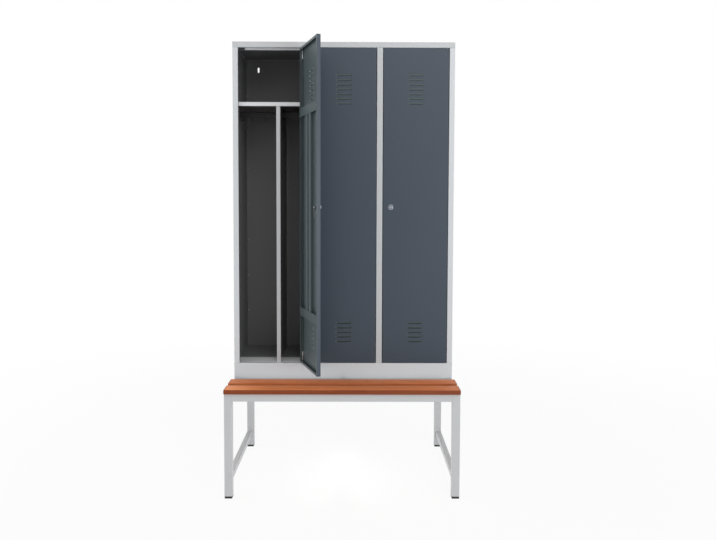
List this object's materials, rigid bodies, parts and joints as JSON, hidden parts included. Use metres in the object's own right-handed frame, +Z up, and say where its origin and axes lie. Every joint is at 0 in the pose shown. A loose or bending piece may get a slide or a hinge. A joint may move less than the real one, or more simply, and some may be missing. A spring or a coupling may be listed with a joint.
{
  "type": "metal locker with bench",
  "caption": "Folded-steel cloakroom locker with hinged doors, hat shelves and coat rails, on a square-tube frame with a slatted wooden bench in front.",
  "frame": {"origin": "on the floor, at the middle of the whole part's box with the left door open as in the picture", "axes": "+Z up, the doors face -Y, +X to the viewer's right"},
  "size_m": [1.19, 0.841, 2.355],
  "materials": {
    "locker_paint": "light grey powder coat, satin, on folded sheet steel",
    "back_paint": "dark charcoal powder coat, matt",
    "door_paint": "anthracite powder coat, satin",
    "rail_paint": "black powder coat",
    "frame_paint": "light grey powder coat, satin, on square steel tube",
    "zinc_steel": "zinc plated",
    "lock_nickel": "nickel plated, satin",
    "foot_plastic": "black plastic",
    "slat_wood": "red-brown varnished hardwood"
  },
  "bodies": {
    "locker_and_bench": {"back_panel": "back_paint", "base_angle_left": "locker_paint", "base_angle_right": "locker_paint", "centre_bearer": "frame_paint", "coat_rail_1": "rail_paint", "coat_rail_2": "rail_paint", "coat_rail_3": "rail_paint", "divider_1": "locker_paint", "divider_2": "locker_paint", "floor_panel": "locker_paint", "foot_cap_front_left": "foot_plastic", "foot_cap_front_right": "foot_plastic", "foot_cap_rear_left": "foot_plastic", "foot_cap_rear_right": "foot_plastic", "front_rail": "frame_paint", "hat_shelf_1": "locker_paint", "hat_shelf_2": "locker_paint", "hat_shelf_3": "locker_paint", "locker_bolt_front_left": "zinc_steel", "locker_bolt_front_right": "zinc_steel", "locker_bolt_rear_left": "zinc_steel", "locker_bolt_rear_right": "zinc_steel", "middle_rail": "frame_paint", "partition_1": "locker_paint", "partition_2": "locker_paint", "partition_3": "locker_paint", "plinth_panel": "locker_paint", "post_1": "locker_paint", "post_2": "locker_paint", "rear_rail": "frame_paint", "roof_panel": "locker_paint", "side_frame_left": "frame_paint", "side_frame_right": "frame_paint", "side_panel_left": "locker_paint", "side_panel_right": "locker_paint", "slat_1": "slat_wood", "slat_2": "slat_wood"},
    "door_leaf_1": {"door_1": "door_paint", "door_stiffener_1": "door_paint", "hinge_pin_top_1": "zinc_steel", "hinge_pin_bottom_1": "zinc_steel", "lock_housing_1": "lock_nickel"},
    "lock_plug_1": {"lock_core_1": "lock_nickel", "lock_cam_1": "lock_nickel"},
    "door_leaf_2": {"door_2": "door_paint", "door_stiffener_2": "door_paint", "hinge_pin_top_2": "zinc_steel", "hinge_pin_bottom_2": "zinc_steel", "lock_housing_2": "lock_nickel"},
    "lock_plug_2": {"lock_core_2": "lock_nickel", "lock_cam_2": "lock_nickel"},
    "door_leaf_3": {"door_3": "door_paint", "door_stiffener_3": "door_paint", "hinge_pin_top_3": "zinc_steel", "hinge_pin_bottom_3": "zinc_steel", "lock_housing_3": "lock_nickel"},
    "lock_plug_3": {"lock_core_3": "lock_nickel", "lock_cam_3": "lock_nickel"}
  },
  "joints": [
    {"name": "door_1_hinge", "type": "hinge", "parent": "locker_and_bench", "child": "door_leaf_1", "pos_m": [-0.2205, -0.0735, 0.626], "axis": [0, 0, 1], "range_deg": [-108, 0]},
    {"name": "lock_1_turn", "type": "hinge", "parent": "door_leaf_1", "child": "lock_plug_1", "pos_m": [-0.12733, -0.36024, 1.47425], "axis": [-0.9511, -0.309, 0], "range_deg": [0, 90]},
    {"name": "door_2_hinge", "type": "hinge", "parent": "locker_and_bench", "child": "door_leaf_2", "pos_m": [0.1675, -0.0735, 0.626], "axis": [0, 0, 1], "range_deg": [0, 108]},
    {"name": "lock_2_turn", "type": "hinge", "parent": "door_leaf_2", "child": "lock_plug_2", "pos_m": [-0.134, -0.0735, 1.47425], "axis": [0, 1, 0], "range_deg": [0, 90]},
    {"name": "door_3_hinge", "type": "hinge", "parent": "locker_and_bench", "child": "door_leaf_3", "pos_m": [0.5555, -0.0735, 0.626], "axis": [0, 0, 1], "range_deg": [0, 108]},
    {"name": "lock_3_turn", "type": "hinge", "parent": "door_leaf_3", "child": "lock_plug_3", "pos_m": [0.254, -0.0735, 1.47425], "axis": [0, 1, 0], "range_deg": [0, 90]}
  ]
}
